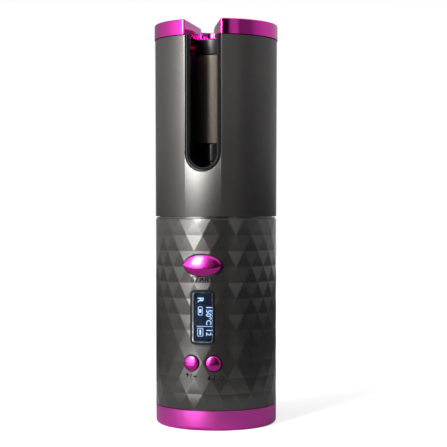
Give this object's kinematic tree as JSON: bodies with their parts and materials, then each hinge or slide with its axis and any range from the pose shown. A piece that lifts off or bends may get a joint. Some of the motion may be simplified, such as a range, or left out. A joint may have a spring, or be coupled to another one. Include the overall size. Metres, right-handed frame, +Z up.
{
  "type": "automatic hair curler",
  "caption": "Free-standing automatic hair curler: round faceted grip with keys and display, slotted upper housing round a heated barrel, winding rotor and notched cap.",
  "frame": {"origin": "centre of the foot's flat underside", "axes": "+Z up along the barrel's axis, -Y towards the keys, the display and the hair slot, +X to the right seen from the front"},
  "size_m": [0.0612, 0.063, 0.197],
  "materials": {
    "plated_magenta": "magenta chrome plating",
    "satin_magenta": "satin magenta metallic",
    "gunmetal": "satin gunmetal paint",
    "gunmetal_facets": "satin gunmetal paint on low facets",
    "black_plastic": "satin",
    "black_gloss": "gloss",
    "tan_ceramic": "ceramic coated",
    "clear_lens": "polished",
    "display_blue": "blue-black liquid crystal",
    "white_plastic": "plain",
    "grey_plastic": "plain",
    "steel": "bright",
    "brass": "machined",
    "aluminium": "machined",
    "nylon": "natural nylon",
    "board_green": "solder mask",
    "cell_wrap": "plastic shrink wrap",
    "nickel": "strip",
    "red_lead": "insulated lead",
    "blue_lead": "insulated lead"
  },
  "bodies": {
    "housing": {"top_cap_ring": "plated_magenta", "upper_housing": "gunmetal", "chamber_liner": "black_plastic", "heated_barrel": "tan_ceramic", "barrel_end_cap": "black_gloss", "barrel_base_collar": "black_gloss", "lower_housing": "gunmetal_facets", "base_ring": "satin_magenta", "base_plate": "black_plastic", "display_bezel": "black_gloss", "display_window": "clear_lens", "lcd_panel": "display_blue", "display_backlight": "white_plastic", "main_board": "board_green", "start_switch": "grey_plastic", "plus_minus_switch": "grey_plastic", "power_switch": "grey_plastic", "buzzer": "black_plastic", "battery_frame": "grey_plastic", "battery_cell_left": "cell_wrap", "battery_cell_right": "cell_wrap", "cell_link": "nickel", "charge_board": "board_green", "charge_socket": "steel", "base_screw_1": "steel", "base_screw_2": "steel", "chassis_plate": "grey_plastic", "chassis_screw_1": "steel", "chassis_screw_2": "steel", "chassis_screw_3": "steel", "gear_cover": "black_plastic", "home_sensor": "board_green", "idler_axle": "steel", "gear_motor": "steel", "barrel_post": "steel", "rotor_bush": "brass", "heater_block": "aluminium", "heater_plate": "white_plastic", "thermistor": "white_plastic", "heater_lead": "red_lead", "motor_lead": "blue_lead", "battery_lead": "red_lead", "charge_lead": "blue_lead"},
    "start_key": {"start_button": "plated_magenta"},
    "plus_minus_key": {"plus_minus_button": "plated_magenta"},
    "power_key": {"power_button": "plated_magenta"},
    "rotor": {"winding_rotor": "black_plastic", "rotor_gear": "nylon"},
    "idler": {"idler_gear": "nylon"},
    "pinion": {"motor_pinion": "brass", "motor_shaft": "steel"}
  },
  "joints": [
    {"name": "start_press", "type": "slide", "parent": "housing", "child": "start_key", "axis": [0, 1, 0], "range_m": [0, 0.001], "stiffness_N_per_m": 600, "springref_m": -0.001},
    {"name": "plus_minus_press", "type": "slide", "parent": "housing", "child": "plus_minus_key", "axis": [0.18, 0.9837, 0], "range_m": [0, 0.0008], "stiffness_N_per_m": 500, "springref_m": -0.0008},
    {"name": "power_press", "type": "slide", "parent": "housing", "child": "power_key", "axis": [-0.18, 0.9837, 0], "range_m": [0, 0.0008], "stiffness_N_per_m": 500, "springref_m": -0.0008},
    {"name": "rotor_spin", "type": "hinge", "parent": "housing", "child": "rotor", "pos_m": [0, 0, 0.1193], "axis": [0, 0, 1], "continuous": true},
    {"name": "idler_spin", "type": "hinge", "parent": "housing", "child": "idler", "pos_m": [0.01504, 0.00914, 0.1132], "axis": [0, 0, 1], "continuous": true},
    {"name": "pinion_spin", "type": "hinge", "parent": "housing", "child": "pinion", "pos_m": [0.01796, 0, 0.1132], "axis": [0, 0, 1], "continuous": true}
  ],
  "couplings": [
    {"joint": "idler_spin", "follows": "rotor_spin", "ratio": -2.1429},
    {"joint": "pinion_spin", "follows": "rotor_spin", "ratio": 3}
  ]
}
